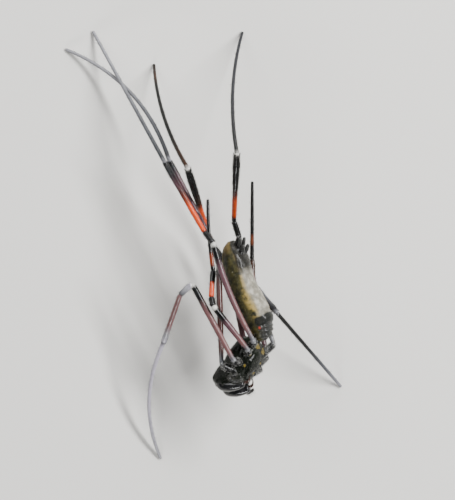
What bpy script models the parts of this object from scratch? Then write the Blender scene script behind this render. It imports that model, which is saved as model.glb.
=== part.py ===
# A female golden silk orb weaver, life size, as a still model standing on the tips of six legs.
# Sizes below are in millimetres. The meshes are made in metres, with +Z up and the floor at zero.
# Bearings are degrees from +X towards +Y, and rises are degrees above the floor.

import math

import bmesh
import bpy
from mathutils import Matrix, Vector

MM = 0.001
GAP = 0.3
EYE_GAP = 0.2
LEG_SIDES = 12
BODY_SIDES = 28

# Both halves of the body lie belly up, head towards -Y, and are rolled with the belly towards +X.
HEAD_CENTRE = (1.2, -13.5, 17.6)
HEAD_BEARING = -122.0
HEAD_RISE = 4.0
HEAD_ROLL = 46.0
ABDOMEN_TAIL = (-2.0, 12.9, 17.6)
ABDOMEN_BEARING = -72.5
ABDOMEN_RISE = 5.0
ABDOMEN_ROLL = 44.0

# Cross-sections of the cephalothorax: how far forward, how far aside, half width, height above
# the middle and depth below it.
HEAD_SECTIONS = (
    (-5.2, 0.0, 1.3, 0.9, 0.9),
    (-4.6, 0.0, 3.2, 1.9, 1.7),
    (-3.0, 0.0, 4.7, 2.6, 2.3),
    (-0.9, 0.0, 5.1, 3.0, 2.4),
    (1.2, 0.0, 4.7, 3.4, 2.4),
    (3.2, 0.0, 4.1, 3.9, 2.3),
    (5.1, 0.0, 3.9, 4.3, 2.0),
    (6.9, 0.0, 3.6, 4.2, 1.4),
    (7.8, 0.0, 2.6, 3.0, 0.7),
    (8.1, 0.0, 1.4, 1.8, 0.2),
)
HEAD_RINGS = 21
HEAD_SQUARE = 0.84

# The same of the abdomen, measured from its tail towards the head.
ABDOMEN_SECTIONS = (
    (-0.2, 0.1, 0.7, 0.8, 0.5),
    (0.8, 0.0, 2.0, 1.9, 1.4),
    (2.4, 0.0, 2.8, 2.7, 2.2),
    (4.8, -0.2, 3.2, 3.1, 2.9),
    (9.5, -0.6, 3.15, 3.15, 3.1),
    (13.5, -0.2, 3.5, 3.4, 3.4),
    (17.4, 0.3, 3.5, 3.3, 3.4),
    (20.3, 0.3, 3.0, 2.5, 3.0),
    (22.3, 0.2, 1.9, 1.3, 2.1),
    (23.1, 0.1, 0.8, 0.4, 1.1),
)
ABDOMEN_RINGS = 22
ABDOMEN_SQUARE = 0.94

# Where each pair of coxae leaves the cephalothorax: forward, sideways and above its centre.
COXA_ROOTS = {1: (3.5, 2.6, -1.0), 2: (1.3, 3.2, -1.2), 3: (-0.9, 3.2, -1.3), 4: (-3.0, 2.6, -1.2)}

# Radii along each kind of leg piece, from its root to its end.
COXA_RADII = (0.85, 0.88, 0.8)
FEMUR_RADII = (0.48, 0.6, 0.66, 0.69, 0.69, 0.62)
PATELLA_RADII = (0.62, 0.67, 0.58)
TIBIA_RADII = (0.54, 0.59, 0.6, 0.61, 0.66, 0.56)
FOOT_RADII = (0.48, 0.46, 0.44, 0.42, 0.4, 0.38, 0.34)
FOOT_TIP_HEIGHT = 0.22
LEG_RINGS = {"coxa": 4, "femur": 7, "patella": 4, "tibia": 8, "foot": 13}

# Each leg: the point where the femur starts, the length, bearing and rise of the femur, patella
# and tibia, then those of the foot, whose rise is None where it ends on the floor. Bows are how far
# femur, patella, tibia and foot bulge sideways, as parts of their lengths.
LEGS = {
    "left_1": {
        "hip": (-4.7, -14.4, 21.5),
        "bones": ((23.1, 89.5, -14.0), (6.1, 110.0, 21.0), (20.4, 116.5, -12.5)),
        "foot": (35.5, 130.5, None),
        "bows": (0.0, 0.0, 0.0, -0.112),
    },
    "left_2": {
        "hip": (-2.3, -13.5, 24.0),
        "bones": ((19.7, 117.0, -11.5), (3.7, -136.0, -6.0), (13.6, -104.0, -34.0)),
        "foot": (28.6, -87.5, None),
        "bows": (0.0, 0.0, 0.0, -0.1),
    },
    "left_3": {
        "hip": (1.2, -11.2, 23.0),
        "bones": ((12.8, 129.0, 1.0), (2.4, 96.5, -35.0), (6.2, 83.5, -15.0)),
        "foot": (15.6, 94.0, -2.0),
        "bows": (0.0, 0.0, 0.0, 0.02),
    },
    "left_4": {
        "hip": (2.2, -9.2, 24.0),
        "bones": ((23.7, 112.5, -1.5), (3.6, 124.5, -35.5), (18.4, 118.0, -14.0)),
        "foot": (36.4, 115.0, None),
        "bows": (0.038, 0.0, 0.0, 0.0),
    },
    "right_1": {
        "hip": (3.2, -16.8, 12.6),
        "bones": ((24.5, 100.0, -7.0), (6.9, 125.0, -17.0), (24.2, 115.0, 40.0)),
        "foot": (33.1, 100.0, None),
        "bows": (0.0, 0.0, 0.0, 0.045),
    },
    "right_2": {
        "hip": (5.3, -15.5, 13.3),
        "bones": ((19.8, 97.5, -30.5), (3.5, 60.0, 25.5), (13.2, -59.5, 51.5)),
        "foot": (28.3, -44.5, None),
        "bows": (0.0, 0.0, 0.0, 0.0),
    },
    "right_3": {
        "hip": (6.7, -12.8, 13.6),
        "bones": ((13.5, 96.5, -18.5), (2.5, 108.5, 4.5), (6.9, 91.5, -10.0)),
        "foot": (17.4, 91.0, 7.5),
        "bows": (0.0, 0.0, 0.0, 0.0),
    },
    "right_4": {
        "hip": (8.2, -9.9, 14.2),
        "bones": ((25.4, 106.5, -10.5), (3.9, 110.0, 14.5), (18.5, 94.0, 35.5)),
        "foot": (35.1, 80.5, None),
        "bows": (0.0, 0.0, 0.0, 0.045),
    },
}

# Eyes look out from a hub inside the head. Each: degrees to the side, degrees up, and radius.
EYE_HUB = (4.4, 0.0, 1.0)
EYES = {
    "front_middle": (11.0, 25.0, 0.3),
    "rear_middle": (12.0, 47.0, 0.28),
    "front_side": (44.0, 10.0, 0.26),
    "rear_side": (47.0, 27.0, 0.26),
}
EYE_SUNK = 0.3

# Chelicerae, fangs and palps, in the same way as the coxae, each from its root to its tip.
CHELICERA_POINTS = ((5.3, 1.55, 1.6), (7.1, 1.58, 1.0), (6.9, 1.56, -0.6), (6.1, 1.5, -2.3), (4.9, 1.36, -4.0))
CHELICERA_RADII = (1.15, 1.38, 1.38, 1.15, 0.75)
FANG_POINTS = ((4.9, 1.3, -3.4), (4.2, 1.1, -4.3), (3.4, 0.85, -4.2), (2.7, 0.6, -3.6))
FANG_RADII = (0.36, 0.32, 0.24, 0.12)
PALP_POINTS = (
    (4.0, 2.4, -1.6),
    (4.8, 3.5, -1.8),
    (5.5, 3.8, -1.3),
    (5.9, 3.55, -2.3),
    (5.3, 3.15, -3.4),
    (4.4, 2.8, -4.0),
)
PALP_RADII = (0.55, 0.48, 0.4, 0.42, 0.34, 0.34, 0.36, 0.34, 0.24)

# Sternum, labium and maxillae, raised on the underside of the cephalothorax: forward, sideways and
# above its centre, then half length, half width and half height.
UNDER_PLATES = (
    (-0.3, 0.0, -1.95, 3.0, 2.0, 0.8),
    (3.2, 0.0, -2.1, 0.8, 0.7, 0.65),
    (4.3, 1.4, -1.95, 1.25, 0.8, 0.95),
    (4.3, -1.4, -1.95, 1.25, 0.8, 0.95),
)

# Spinnerets, measured from the abdomen's tail as its sections are.
SPINNERET_BASE = (2.6, 0.0, -1.6)
SPINNERET_BASE_RADIUS = 1.4
SPINNERETS = (
    # forward, sideways, above, how far each leans back, radius
    (1.9, 0.62, -2.6, 1.9, 0.5),
    (3.0, 0.72, -2.9, 1.3, 0.55),
    (1.1, 0.45, -1.9, 1.8, 0.42),
)

COLOURS = {
    "cephalothorax": (0.012, 0.014, 0.011),
    "abdomen": (0.075, 0.075, 0.045),
    "dark": (0.01, 0.01, 0.01),
    "femur": (0.09, 0.045, 0.045),
    "tibia": (0.2, 0.045, 0.02),
    "foot": (0.06, 0.055, 0.065),
    "eye": (0.004, 0.004, 0.004),
}


def clear_scene():
    for old in list(bpy.data.objects):
        bpy.data.objects.remove(old, do_unlink=True)


def material(name, roughness):
    found = bpy.data.materials.get(name)
    if found:
        return found
    made = bpy.data.materials.new(name)
    made.use_nodes = True
    shader = made.node_tree.nodes["Principled BSDF"]
    shader.inputs["Base Color"].default_value = (*COLOURS[name], 1.0)
    shader.inputs["Roughness"].default_value = roughness
    shader.inputs["Metallic"].default_value = 0.0
    return made


def direction(bearing, rise):
    turn = math.radians(bearing)
    lift = math.radians(rise)
    return Vector((math.cos(turn) * math.cos(lift), math.sin(turn) * math.cos(lift), math.sin(lift)))


def body_frame(centre, bearing, rise, roll):
    # Columns point forward, to the animal's left and to its back.
    forward = direction(bearing, rise)
    up = (Vector((0, 0, 1)) - forward * forward.z).normalized()
    turn = math.radians(roll)
    back = -(up * math.cos(turn) + up.cross(forward) * math.sin(turn))
    axes = Matrix((forward, back.cross(forward), back)).transposed()
    return Matrix.Translation(Vector(centre)) @ axes.to_4x4()


def head_frame():
    return body_frame(HEAD_CENTRE, HEAD_BEARING, HEAD_RISE, HEAD_ROLL)


def abdomen_frame():
    return body_frame(ABDOMEN_TAIL, ABDOMEN_BEARING, ABDOMEN_RISE, ABDOMEN_ROLL)


def spread(values, count):
    # Reads a smooth curve through evenly spaced rows of numbers at this many places.
    rows = [Vector(row) if hasattr(row, "__len__") else Vector((row, 0.0)) for row in values]
    out = []
    for step in range(count):
        place = step * (len(rows) - 1) / (count - 1)
        low = min(int(place), len(rows) - 2)
        part = place - low
        before = rows[max(low - 1, 0)]
        start = rows[low]
        end = rows[low + 1]
        after = rows[min(low + 2, len(rows) - 1)]
        out.append(
            start
            + (end - before) * (part / 2)
            + (before * 2 - start * 5 + end * 4 - after) * (part ** 2 / 2)
            + (start * 3 - end * 3 + after - before) * (part ** 3 / 2)
        )
    return out


def finish(name, shape, paint, roughness):
    bmesh.ops.recalc_face_normals(shape, faces=shape.faces)
    bmesh.ops.scale(shape, vec=(MM, MM, MM), verts=shape.verts)
    mesh = bpy.data.meshes.new(name)
    shape.to_mesh(mesh)
    shape.free()
    mesh.shade_smooth()
    mesh.set_sharp_from_angle(angle=math.radians(50))
    made = bpy.data.objects.new(name, mesh)
    bpy.context.scene.collection.objects.link(made)
    mesh.materials.append(material(paint, roughness))
    return made


def skin_rings(shape, rings, flat_ends):
    rows = [[shape.verts.new(point) for point in ring] for ring in rings]
    sides = len(rows[0])
    for lower, upper in zip(rows, rows[1:]):
        for side in range(sides):
            after = (side + 1) % sides
            shape.faces.new((lower[side], lower[after], upper[after], upper[side]))
    for row in (rows[0], rows[-1]):
        if flat_ends:
            shape.faces.new(row)
            continue
        pole = shape.verts.new(sum((vertex.co for vertex in row), Vector()) / sides)
        for side in range(sides):
            shape.faces.new((row[side], row[(side + 1) % sides], pole))


def loft(name, frame, roll, sections, ring_count, square, paint, roughness):
    turn = math.radians(roll)
    rings = []
    for along, aside, wide, above, below in spread(sections, ring_count):
        middle = Vector((along, -aside * math.cos(turn), -aside * math.sin(turn)))
        ring = []
        for side in range(BODY_SIDES):
            angle = 2 * math.pi * side / BODY_SIDES
            across = math.copysign(abs(math.cos(angle)) ** square, math.cos(angle)) * wide
            up = math.copysign(abs(math.sin(angle)) ** square, math.sin(angle))
            ring.append(frame @ (middle + Vector((0.0, across, (above if up > 0 else below) * up))))
        rings.append(ring)
    shape = bmesh.new()
    skin_rings(shape, rings, False)
    return finish(name, shape, paint, roughness)


def tube(name, points, radii, normals, paint, roughness, sides=LEG_SIDES):
    # A round bar along the points, whose first and last faces lie square to the given normals.
    sizes = [row[0] for row in spread(radii, len(points))]
    rings = []
    across = None
    for index, point in enumerate(points):
        ahead = points[min(index + 1, len(points) - 1)] - points[max(index - 1, 0)]
        ahead.normalize()
        if across is None:
            across = ahead.orthogonal().normalized()
        across = (across - ahead * across.dot(ahead)).normalized()
        other = ahead.cross(across)
        facing = normals[0] if index == 0 else normals[1] if index == len(points) - 1 else ahead
        ring = []
        for side in range(sides):
            angle = 2 * math.pi * side / sides
            offset = (across * math.cos(angle) + other * math.sin(angle)) * sizes[index]
            ring.append(point + offset - ahead * (facing.dot(offset) / facing.dot(ahead)))
        rings.append(ring)
    shape = bmesh.new()
    skin_rings(shape, rings, True)
    return finish(name, shape, paint, roughness)


def grown(thing, by):
    # A copy of a closed mesh moved out along its normals, to cut others clear of it.
    mesh = thing.data.copy()
    normals = [vertex.normal.copy() for vertex in mesh.vertices]
    for vertex, normal in zip(mesh.vertices, normals):
        vertex.co += normal * (by * MM)
    copy = bpy.data.objects.new(thing.name + "_clearance", mesh)
    bpy.context.scene.collection.objects.link(copy)
    copy.hide_render = True
    copy.display_type = "WIRE"
    return copy


def combine(thing, others, operation, solver="EXACT"):
    helpers = bpy.data.collections.new("helpers")
    for other in others:
        helpers.objects.link(other)
    step = thing.modifiers.new("combine", "BOOLEAN")
    step.operand_type = "COLLECTION"
    step.collection = helpers
    step.operation = operation
    step.solver = solver
    graph = bpy.context.evaluated_depsgraph_get()
    mesh = bpy.data.meshes.new_from_object(thing.evaluated_get(graph))
    thing.modifiers.remove(step)
    thing.data = mesh
    keep_largest(mesh)
    bpy.data.collections.remove(helpers)


def keep_largest(mesh):
    shape = bmesh.new()
    shape.from_mesh(mesh)
    left = set(shape.verts)
    islands = []
    while left:
        island = {left.pop()}
        edge = list(island)
        while edge:
            for link in edge.pop().link_edges:
                for vertex in link.verts:
                    if vertex in left:
                        left.discard(vertex)
                        island.add(vertex)
                        edge.append(vertex)
        islands.append(island)
    islands.sort(key=len)
    for island in islands[:-1]:
        bmesh.ops.delete(shape, geom=list(island), context="VERTS")
    shape.to_mesh(mesh)
    shape.free()
    mesh.shade_smooth()
    mesh.set_sharp_from_angle(angle=math.radians(50))


def remove(things):
    for thing in things:
        bpy.data.objects.remove(thing, do_unlink=True)


def make_body():
    head = loft(
        "cephalothorax",
        head_frame(),
        HEAD_ROLL,
        HEAD_SECTIONS,
        HEAD_RINGS,
        HEAD_SQUARE,
        "cephalothorax",
        0.4,
    )
    plates = []
    for forward, sideways, above, half_length, half_width, half_height in UNDER_PLATES:
        place = head_frame() @ Matrix.Translation((forward, sideways, above))
        size = Matrix.Diagonal((half_length, half_width, half_height, 1.0))
        plates.append(ball("plate", place @ size, 1.0, "cephalothorax", 0.4))
    head_rooms = [grown(thing, GAP) for thing in (head, *plates)]
    combine(head, plates, "UNION")
    remove(plates)
    abdomen = loft(
        "abdomen",
        abdomen_frame(),
        ABDOMEN_ROLL,
        ABDOMEN_SECTIONS,
        ABDOMEN_RINGS,
        ABDOMEN_SQUARE,
        "abdomen",
        0.5,
    )
    return head, head_rooms, abdomen


def make_pedicel(head_rooms, abdomen_room):
    start = head_frame() @ Vector((-4.3, 0.0, 0.0))
    end = abdomen_frame() @ Vector((ABDOMEN_SECTIONS[-1][0] - 1.2, 0.0, 0.2))
    points = [start.lerp(end, step / 6) for step in range(7)]
    ahead = (end - start).normalized()
    stem = tube("pedicel", points, (0.8, 0.7, 0.8), (ahead, ahead), "dark", 0.45)
    combine(stem, (*head_rooms, abdomen_room), "DIFFERENCE")


def joint_points(leg):
    points = [Vector(leg["hip"])]
    for length, bearing, rise in leg["bones"]:
        points.append(points[-1] + direction(bearing, rise) * length)
    length, bearing, rise = leg["foot"]
    if rise is None:
        rise = math.degrees(math.asin((FOOT_TIP_HEIGHT - points[-1].z) / length))
    points.append(points[-1] + direction(bearing, rise) * length)
    return points


def bowed(start, end, bow, count):
    side = Vector((start.y - end.y, end.x - start.x, 0.0)).normalized() * (end - start).length
    return [
        start.lerp(end, step / (count - 1)) + side * (bow * 4 * step / (count - 1) * (1 - step / (count - 1)))
        for step in range(count)
    ]


def trim_to_floor(thing):
    shape = bmesh.new()
    shape.from_mesh(thing.data)
    geometry = list(shape.verts) + list(shape.edges) + list(shape.faces)
    cut = bmesh.ops.bisect_plane(
        shape, geom=geometry, dist=1e-7, plane_co=(0, 0, 0), plane_no=(0, 0, 1), clear_inner=True
    )
    edges = [item for item in cut["geom_cut"] if isinstance(item, bmesh.types.BMEdge)]
    bmesh.ops.holes_fill(shape, edges=edges, sides=0)
    bmesh.ops.recalc_face_normals(shape, faces=shape.faces)
    shape.to_mesh(thing.data)
    shape.free()


def make_leg(name, leg, head_rooms):
    number = int(name[-1])
    side = 1 if name.startswith("left") else -1
    forward, sideways, above = COXA_ROOTS[number]
    root = head_frame() @ Vector((forward, side * sideways, above))
    points = [root] + joint_points(leg)
    kinds = ("coxa", "femur", "patella", "tibia", "foot")
    profiles = (COXA_RADII, FEMUR_RADII, PATELLA_RADII, TIBIA_RADII, FOOT_RADII)
    paints = ("dark", "femur", "dark", "tibia", "foot")
    bows = (0.0, *leg["bows"])
    runs = [bowed(points[i], points[i + 1], bows[i], LEG_RINGS[kinds[i]]) for i in range(len(kinds))]
    starts = [(run[1] - run[0]).normalized() for run in runs]
    ends = [(run[-1] - run[-2]).normalized() for run in runs]
    faces = [starts[0]]
    faces += [(before + after).normalized() for before, after in zip(ends, starts[1:])]
    faces += [ends[-1]]
    made = []
    for index, kind in enumerate(kinds):
        run = runs[index]
        opening, closing = faces[index], faces[index + 1]
        run[0] = run[0] + starts[index] * (GAP / 2 / opening.dot(starts[index]))
        if index < len(kinds) - 1:
            run[-1] = run[-1] - ends[index] * (GAP / 2 / closing.dot(ends[index]))
        piece = tube(f"leg_{name}_{kind}", run, profiles[index], (opening, closing), paints[index], 0.4)
        made.append(piece)
    combine(made[0], head_rooms, "DIFFERENCE")
    if leg["foot"][2] is None:
        trim_to_floor(made[-1])


def limb(name, points, side, count, radii, roughness, sides):
    # A bent tube on one side of the head, from points given for the left side.
    frame = head_frame()
    bends = [frame @ (Vector(point) * Vector((1, side, 1))) for point in points]
    run = [Vector(row) for row in spread(bends, count)]
    faces = ((run[1] - run[0]).normalized(), (run[-1] - run[-2]).normalized())
    return tube(name, run, radii, faces, "dark", roughness, sides)


def make_mouth(head_rooms):
    for side, word in ((1, "left"), (-1, "right")):
        jaw = limb(f"chelicera_{word}", CHELICERA_POINTS, side, 13, CHELICERA_RADII, 0.3, 14)
        jaw_room = grown(jaw, GAP)
        combine(jaw, head_rooms, "DIFFERENCE")
        fang = limb(f"fang_{word}", FANG_POINTS, side, 9, FANG_RADII, 0.25, 8)
        combine(fang, (jaw_room,), "DIFFERENCE")
        palp = limb(f"palp_{word}", PALP_POINTS, side, 19, PALP_RADII, 0.4, 10)
        combine(palp, head_rooms, "DIFFERENCE")
        remove((jaw_room,))


def ball(name, place, radius, paint, roughness):
    shape = bmesh.new()
    bmesh.ops.create_uvsphere(shape, u_segments=12, v_segments=7, radius=radius, matrix=place)
    return finish(name, shape, paint, roughness)


def make_eyes(head):
    frame = head_frame()
    hub = frame @ Vector(EYE_HUB)
    sockets = []
    for word, (aside, up, radius) in EYES.items():
        for side, hand in ((1, "left"), (-1, "right")):
            look = frame.to_3x3() @ direction(side * aside, up)
            found, point, _, _ = head.ray_cast(hub * MM, look)
            centre = point / MM - look * (radius * EYE_SUNK)
            place = Matrix.Translation(centre)
            ball(f"eye_{word}_{hand}", place, radius, "eye", 0.15)
            sockets.append(ball("socket", place, radius + EYE_GAP, "eye", 0.15))
    combine(head, sockets, "DIFFERENCE")
    remove(sockets)


def make_spinnerets(abdomen_room):
    frame = abdomen_frame()
    place = Matrix.Translation(frame @ Vector(SPINNERET_BASE))
    base = ball("spinnerets", place, SPINNERET_BASE_RADIUS, "dark", 0.4)
    cones = []
    for forward, sideways, above, lean, radius in SPINNERETS:
        for side in (1, -1):
            start = frame @ Vector((forward + 0.6, side * sideways * 0.7, above + 1.2))
            end = frame @ Vector((forward - lean, side * sideways * 1.2, above - 0.9))
            ahead = (end - start).normalized()
            points = [start.lerp(end, step / 5) for step in range(6)]
            sizes = (radius, radius, radius * 0.8, radius * 0.45)
            cones.append(tube("cone", points, sizes, (ahead, ahead), "dark", 0.4, 10))
    combine(base, cones, "UNION")
    combine(base, (abdomen_room,), "DIFFERENCE")
    remove(cones)


def centre_on_floor():
    # Moves every mesh so that the middle of the whole model's box stands over the origin.
    things = [thing for thing in bpy.data.objects if thing.type == "MESH"]
    corners = [vertex.co for thing in things for vertex in thing.data.vertices]
    middle_x = (min(c.x for c in corners) + max(c.x for c in corners)) / 2
    middle_y = (min(c.y for c in corners) + max(c.y for c in corners)) / 2
    shift = Matrix.Translation((-middle_x, -middle_y, 0.0))
    for thing in things:
        thing.data.transform(shift)
    print("moved by", round(-middle_x / MM, 3), round(-middle_y / MM, 3))


def main():
    clear_scene()
    head, head_rooms, abdomen = make_body()
    abdomen_room = grown(abdomen, GAP)
    make_pedicel(head_rooms, abdomen_room)
    for name, leg in LEGS.items():
        make_leg(name, leg, head_rooms)
    make_mouth(head_rooms)
    make_spinnerets(abdomen_room)
    make_eyes(head)
    remove((*head_rooms, abdomen_room))
    centre_on_floor()


main()
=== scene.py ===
import math

import bmesh
import bpy
import numpy as np
from mathutils import Matrix, Vector, noise


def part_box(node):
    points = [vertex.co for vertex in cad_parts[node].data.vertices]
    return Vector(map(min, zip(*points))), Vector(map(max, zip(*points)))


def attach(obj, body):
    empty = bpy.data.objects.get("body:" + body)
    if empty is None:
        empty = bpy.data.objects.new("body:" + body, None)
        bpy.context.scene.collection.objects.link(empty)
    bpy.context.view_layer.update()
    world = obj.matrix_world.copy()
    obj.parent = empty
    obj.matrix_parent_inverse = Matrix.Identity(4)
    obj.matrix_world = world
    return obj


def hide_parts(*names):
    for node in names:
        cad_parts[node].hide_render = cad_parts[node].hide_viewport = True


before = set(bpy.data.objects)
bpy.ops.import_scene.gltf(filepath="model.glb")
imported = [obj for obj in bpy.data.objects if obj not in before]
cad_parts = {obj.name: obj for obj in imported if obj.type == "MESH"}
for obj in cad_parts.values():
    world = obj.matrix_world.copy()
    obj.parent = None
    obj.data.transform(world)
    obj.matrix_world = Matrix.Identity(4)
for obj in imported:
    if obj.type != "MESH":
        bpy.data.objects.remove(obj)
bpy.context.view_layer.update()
mm = 0.001
rng = np.random.default_rng(11)

# Sizes below are millimetres, bearings are degrees from +X towards +Y, rises are degrees above the floor.
# Each body half: where it lies, how it is turned, and rows of
# how far forward, how far aside, half width, height above the middle, depth below it.
headBody = {
    "centre": (1.2, -13.5, 17.6),
    "bearing": -122.0,
    "rise": 4.0,
    "roll": 46.0,
    "square": 0.84,
    "rows": (
        (-5.2, 0.0, 1.3, 0.9, 0.9),
        (-4.6, 0.0, 3.2, 1.9, 1.7),
        (-3.0, 0.0, 4.7, 2.6, 2.3),
        (-0.9, 0.0, 5.1, 3.0, 2.4),
        (1.2, 0.0, 4.7, 3.4, 2.4),
        (3.2, 0.0, 4.1, 3.9, 2.3),
        (5.1, 0.0, 3.9, 4.3, 2.0),
        (6.9, 0.0, 3.6, 4.2, 1.4),
        (7.8, 0.0, 2.6, 3.0, 0.7),
        (8.1, 0.0, 1.4, 1.8, 0.2),
    ),
    "rings": 96,
    "sides": 96,
}
abdomenBody = {
    "centre": (-2.0, 12.9, 17.6),
    "bearing": -72.5,
    "rise": 5.0,
    "roll": 44.0,
    "square": 0.94,
    "rows": (
        (-0.2, 0.1, 0.7, 0.8, 0.5),
        (0.8, 0.0, 2.0, 1.9, 1.4),
        (2.4, 0.0, 2.8, 2.7, 2.2),
        (4.8, -0.2, 3.2, 3.1, 2.9),
        (9.5, -0.6, 3.15, 3.15, 3.1),
        (13.5, -0.2, 3.5, 3.4, 3.4),
        (17.4, 0.3, 3.5, 3.3, 3.4),
        (20.3, 0.3, 3.0, 2.5, 3.0),
        (22.3, 0.2, 1.9, 1.3, 2.1),
        (23.1, 0.1, 0.8, 0.4, 1.1),
    ),
    "rings": 170,
    "sides": 88,
}

# Places along a leg run from 0 to 5: coxa, femur, patella, tibia, foot.
limbEnd = 5.0

# where the coxae of each pair leave the head, as forward, sideways and above on the left side
legRoots = {
    "1": (3.5, 2.6, -1.0),
    "2": (1.3, 3.2, -1.2),
    "3": (-0.9, 3.2, -1.3),
    "4": (-3.0, 2.6, -1.2),
}

# The hip is where the coxa ends. bones are the length, bearing and rise of femur, patella and
# tibia, and foot is the same with None where it ends on the floor. bows are the sideways bulges
# of femur and foot.
legPoses = {
    "left_1": {
        "hip": (-4.7, -14.4, 21.5),
        "bones": ((23.1, 89.5, -14.0), (6.1, 110.0, 21.0), (20.4, 116.5, -12.5)),
        "foot": (35.5, 130.5, None),
        "bows": (0.0, -0.112),
    },
    "left_2": {
        "hip": (-2.3, -13.5, 24.0),
        "bones": ((19.7, 117.0, -11.5), (3.7, -136.0, -6.0), (13.6, -104.0, -34.0)),
        "foot": (28.6, -87.5, None),
        "bows": (0.0, -0.1),
    },
    "left_3": {
        "hip": (1.2, -11.2, 23.0),
        "bones": ((12.8, 129.0, 1.0), (2.4, 96.5, -35.0), (6.2, 83.5, -15.0)),
        "foot": (15.6, 94.0, -2.0),
        "bows": (0.0, 0.02),
    },
    "left_4": {
        "hip": (2.2, -9.2, 24.0),
        "bones": ((23.7, 112.5, -1.5), (3.6, 124.5, -35.5), (18.4, 118.0, -14.0)),
        "foot": (36.4, 115.0, None),
        "bows": (0.038, 0.0),
    },
    "right_1": {
        "hip": (3.2, -16.8, 12.6),
        "bones": ((24.5, 100.0, -7.0), (6.9, 125.0, -17.0), (24.2, 115.0, 40.0)),
        "foot": (33.1, 100.0, None),
        "bows": (0.0, 0.045),
    },
    "right_2": {
        "hip": (5.3, -15.5, 13.3),
        "bones": ((19.8, 97.5, -30.5), (3.5, 60.0, 25.5), (13.2, -59.5, 51.5)),
        "foot": (28.3, -44.5, None),
        "bows": (0.0, 0.0),
    },
    "right_3": {
        "hip": (6.7, -12.8, 13.6),
        "bones": ((13.5, 96.5, -18.5), (2.5, 108.5, 4.5), (6.9, 91.5, -10.0)),
        "foot": (17.4, 91.0, 7.5),
        "bows": (0.0, 0.0),
    },
    "right_4": {
        "hip": (8.2, -9.9, 14.2),
        "bones": ((25.4, 106.5, -10.5), (3.9, 110.0, 14.5), (18.5, 94.0, 35.5)),
        "foot": (35.1, 80.5, None),
        "bows": (0.0, 0.045),
    },
}
legShape = {
    "radii": (
        (0.85, 0.88, 0.8),
        (0.48, 0.6, 0.66, 0.69, 0.69, 0.62),
        (0.62, 0.67, 0.58),
        (0.54, 0.59, 0.6, 0.61, 0.66, 0.56),
        (0.48, 0.46, 0.44, 0.42, 0.4, 0.38, 0.34),
    ),
    "tipHeight": 0.22,
    "sides": 20,
    "step": 0.42,
    "nearJoint": (0.0, 0.07, 0.14, 0.22, 0.32, 0.45, 0.62, 0.85),
    # how far from a joint its corner is rounded: at least, more for a bend, most as a share of the span
    "rounding": (0.4, 0.8, 0.42),
    "blend": 0.4,
    "waist": 0.26,
    "waistLength": 0.13,
    "knuckle": 0.07,
    "knucklePlace": 0.42,
    "knuckleLength": 0.24,
    "uneven": 0.035,
    # the rounded tip: how far beyond the foot's end, and the share of the radius there
    "tip": ((0.05, 0.86), (0.1, 0.62), (0.13, 0.3)),
}

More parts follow.
